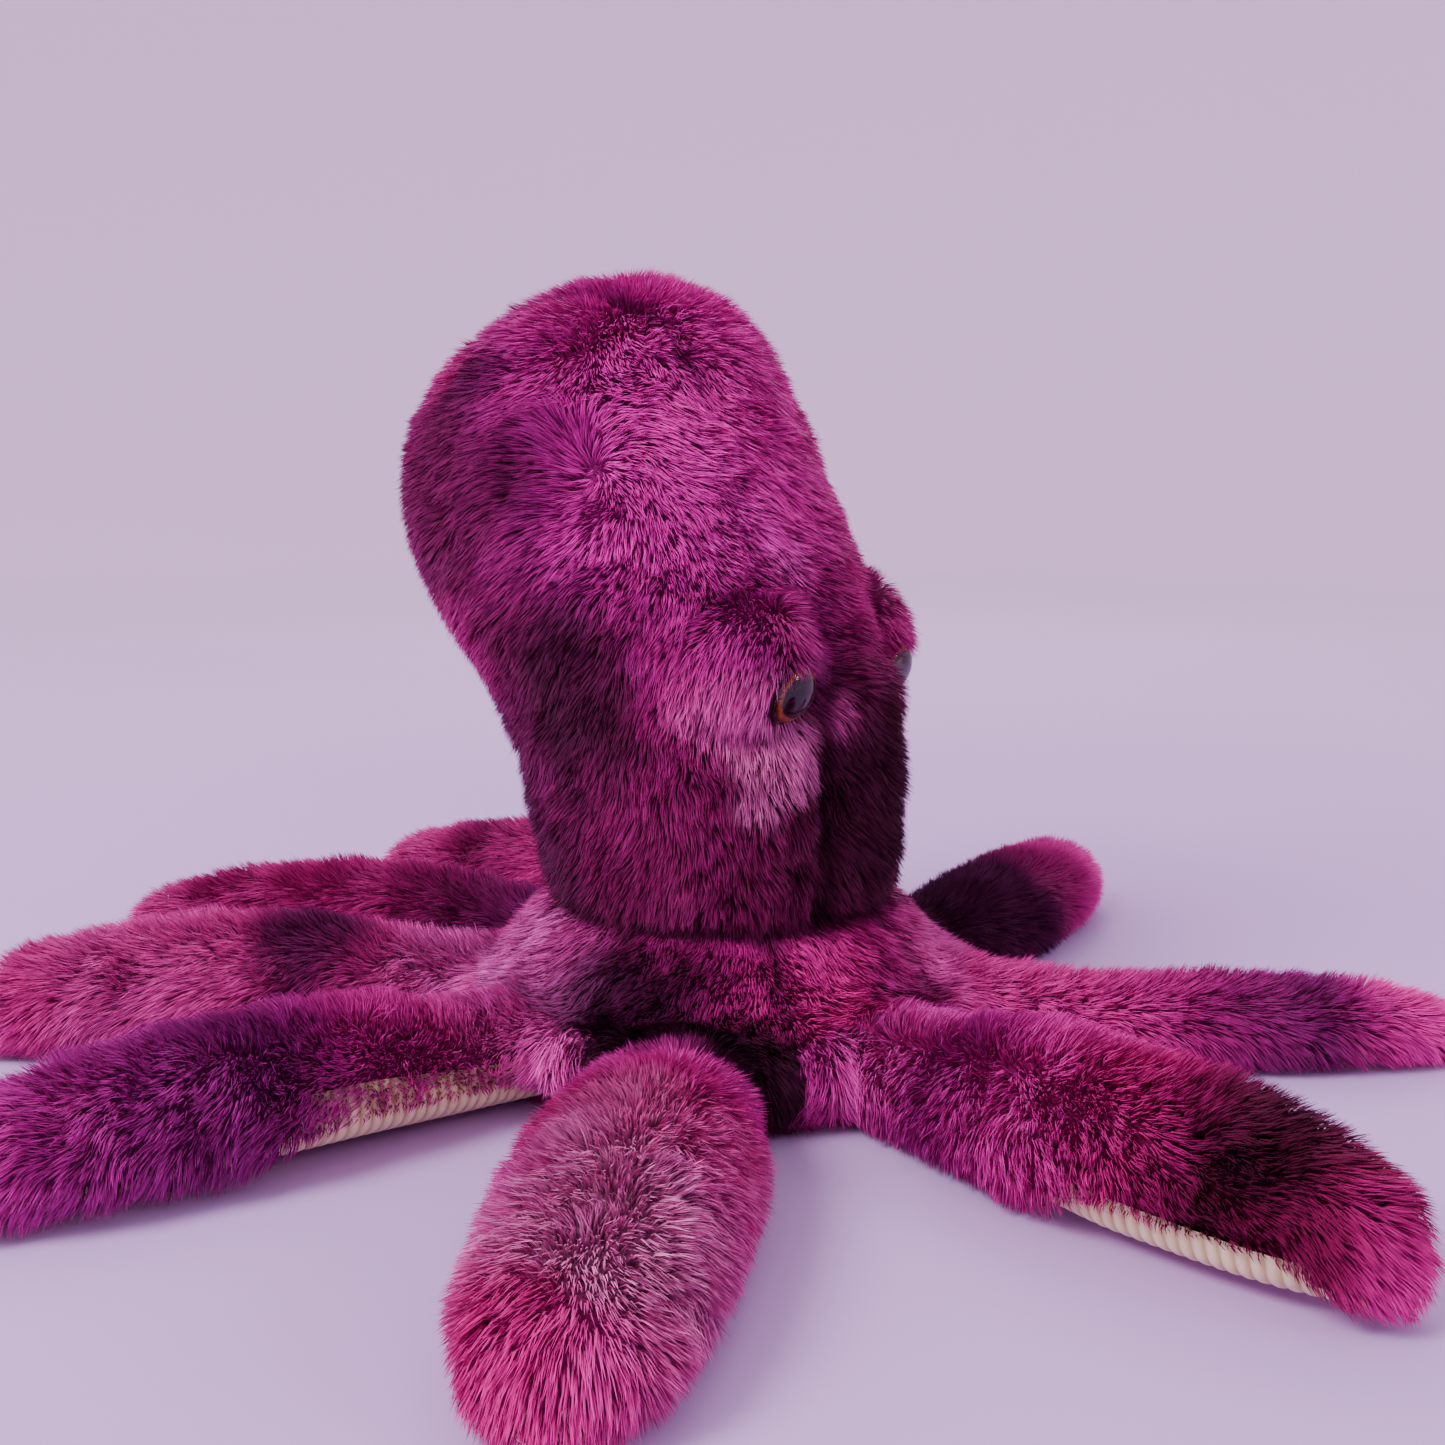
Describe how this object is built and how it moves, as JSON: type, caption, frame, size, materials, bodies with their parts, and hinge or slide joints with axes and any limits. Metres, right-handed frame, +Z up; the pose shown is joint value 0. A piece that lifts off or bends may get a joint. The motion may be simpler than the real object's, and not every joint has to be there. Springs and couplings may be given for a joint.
{
  "type": "plush octopus toy",
  "caption": "Stuffed plush octopus with a tall leaning head, safety eyes, and long arms that lift and curl, furred on top with ribbed undersides.",
  "frame": {"origin": "centre of the underside of the round base, on the table", "axes": "+Z up, the face looks along -Y, +X is the right-hand side seen from the front"},
  "size_m": [0.5821, 0.6017, 0.312],
  "materials": {
    "fur": "tie-dyed deep pile faux fur",
    "corduroy": "wide-ribbed cream corduroy",
    "stuffing": "loose polyester fibre filling",
    "eye_lens": "clear polished dome",
    "eye_disc": "amber iris around a black pupil",
    "eye_fitting": "moulded black"
  },
  "bodies": {
    "base": {"belly_panel": "corduroy", "skirt_panels": "fur", "body_stuffing": "stuffing"},
    "head": {"head_left_panel": "fur", "head_right_panel": "fur", "head_gusset": "fur", "head_stuffing": "stuffing", "eye_mounds": "fur", "eye_lenses": "eye_lens", "eye_discs": "eye_disc", "eye_stems": "eye_fitting", "eye_washers": "eye_fitting"},
    "arm_1_root": {"arm_1_root_cover": "fur", "arm_1_root_underside": "corduroy", "arm_1_root_stuffing": "stuffing"},
    "arm_1_tip": {"arm_1_tip_cover": "fur", "arm_1_tip_underside": "corduroy", "arm_1_tip_stuffing": "stuffing"},
    "arm_2_root": {"arm_2_root_cover": "fur", "arm_2_root_underside": "corduroy", "arm_2_root_stuffing": "stuffing"},
    "arm_2_tip": {"arm_2_tip_cover": "fur", "arm_2_tip_underside": "corduroy", "arm_2_tip_stuffing": "stuffing"},
    "arm_3_root": {"arm_3_root_cover": "fur", "arm_3_root_underside": "corduroy", "arm_3_root_stuffing": "stuffing"},
    "arm_3_tip": {"arm_3_tip_cover": "fur", "arm_3_tip_underside": "corduroy", "arm_3_tip_stuffing": "stuffing"},
    "arm_4_root": {"arm_4_root_cover": "fur", "arm_4_root_underside": "corduroy", "arm_4_root_stuffing": "stuffing"},
    "arm_4_tip": {"arm_4_tip_cover": "fur", "arm_4_tip_underside": "corduroy", "arm_4_tip_stuffing": "stuffing"},
    "arm_5_root": {"arm_5_root_cover": "fur", "arm_5_root_underside": "corduroy", "arm_5_root_stuffing": "stuffing"},
    "arm_5_tip": {"arm_5_tip_cover": "fur", "arm_5_tip_underside": "corduroy", "arm_5_tip_stuffing": "stuffing"},
    "arm_6_root": {"arm_6_root_cover": "fur", "arm_6_root_underside": "corduroy", "arm_6_root_stuffing": "stuffing"},
    "arm_6_tip": {"arm_6_tip_cover": "fur", "arm_6_tip_underside": "corduroy", "arm_6_tip_stuffing": "stuffing"},
    "arm_7_root": {"arm_7_root_cover": "fur", "arm_7_root_underside": "corduroy", "arm_7_root_stuffing": "stuffing"},
    "arm_7_tip": {"arm_7_tip_cover": "fur", "arm_7_tip_underside": "corduroy", "arm_7_tip_stuffing": "stuffing"},
    "arm_8_root": {"arm_8_root_cover": "fur", "arm_8_root_underside": "corduroy", "arm_8_root_stuffing": "stuffing"},
    "arm_8_tip": {"arm_8_tip_cover": "fur", "arm_8_tip_underside": "corduroy", "arm_8_tip_stuffing": "stuffing"}
  },
  "joints": [
    {"name": "neck_lean", "type": "hinge", "parent": "base", "child": "head", "pos_m": [0, 0, 0.005], "axis": [1, 0, 0], "range_deg": [-12, 12], "stiffness_Nm_per_rad": 3, "springref_deg": 1.47},
    {"name": "arm_1_lift", "type": "hinge", "parent": "base", "child": "arm_1_root", "pos_m": [0.03368, -0.0813, 0.022], "axis": [-0.9239, -0.3827, 0], "range_deg": [-45, 40]},
    {"name": "arm_1_curl", "type": "hinge", "parent": "arm_1_root", "child": "arm_1_tip", "pos_m": [0.07506, -0.16862, 0.01666], "axis": [-0.8812, -0.4727, 0], "range_deg": [-45, 45]},
    {"name": "arm_2_lift", "type": "hinge", "parent": "base", "child": "arm_2_root", "pos_m": [0.08269, -0.0301, 0.022], "axis": [-0.342, -0.9397, 0], "range_deg": [-45, 40]},
    {"name": "arm_2_curl", "type": "hinge", "parent": "arm_2_root", "child": "arm_2_tip", "pos_m": [0.17756, -0.05205, 0.02107], "axis": [-0.1055, -0.9944, 0], "range_deg": [-45, 45]},
    {"name": "arm_3_lift", "type": "hinge", "parent": "base", "child": "arm_3_root", "pos_m": [0.07208, 0.05047, 0.022], "axis": [0.5736, -0.8192, 0], "range_deg": [-45, 40]},
    {"name": "arm_3_curl", "type": "hinge", "parent": "arm_3_root", "child": "arm_3_tip", "pos_m": [0.13045, 0.14175, 0.0245], "axis": [0.9842, -0.177, 0], "range_deg": [-20, 35]},
    {"name": "arm_4_lift", "type": "hinge", "parent": "base", "child": "arm_4_root", "pos_m": [0.02278, 0.085, 0.022], "axis": [0.9659, -0.2588, 0], "range_deg": [-45, 40]},
    {"name": "arm_4_curl", "type": "hinge", "parent": "arm_4_root", "child": "arm_4_tip", "pos_m": [0.02304, 0.1925, 0.02254], "axis": [0.9672, 0.254, 0], "range_deg": [-20, 35]},
    {"name": "arm_5_lift", "type": "hinge", "parent": "base", "child": "arm_5_root", "pos_m": [-0.03719, 0.07976, 0.022], "axis": [0.9063, 0.4226, 0], "range_deg": [-45, 40]},
    {"name": "arm_5_curl", "type": "hinge", "parent": "arm_5_root", "child": "arm_5_tip", "pos_m": [-0.08576, 0.1659, 0.0245], "axis": [0.8307, 0.5567, 0], "range_deg": [-35, 45]},
    {"name": "arm_6_lift", "type": "hinge", "parent": "base", "child": "arm_6_root", "pos_m": [-0.0813, 0.03368, 0.022], "axis": [0.3827, 0.9239, 0], "range_deg": [-45, 40]},
    {"name": "arm_6_curl", "type": "hinge", "parent": "arm_6_root", "child": "arm_6_tip", "pos_m": [-0.17013, 0.07338, 0.0245], "axis": [0.4331, 0.9013, 0], "range_deg": [-45, 45]},
    {"name": "arm_7_lift", "type": "hinge", "parent": "base", "child": "arm_7_root", "pos_m": [-0.0813, -0.03368, 0.022], "axis": [-0.3827, 0.9239, 0], "range_deg": [-45, 40]},
    {"name": "arm_7_curl", "type": "hinge", "parent": "arm_7_root", "child": "arm_7_tip", "pos_m": [-0.16902, -0.06887, 0.02597], "axis": [-0.362, 0.9322, 0], "range_deg": [-45, 45]},
    {"name": "arm_8_lift", "type": "hinge", "parent": "base", "child": "arm_8_root", "pos_m": [-0.03368, -0.0813, 0.022], "axis": [-0.9239, 0.3827, 0], "range_deg": [-45, 40]},
    {"name": "arm_8_curl", "type": "hinge", "parent": "arm_8_root", "child": "arm_8_tip", "pos_m": [-0.06809, -0.17135, 0.0245], "axis": [-0.9437, 0.3309, 0], "range_deg": [-45, 45]}
  ]
}
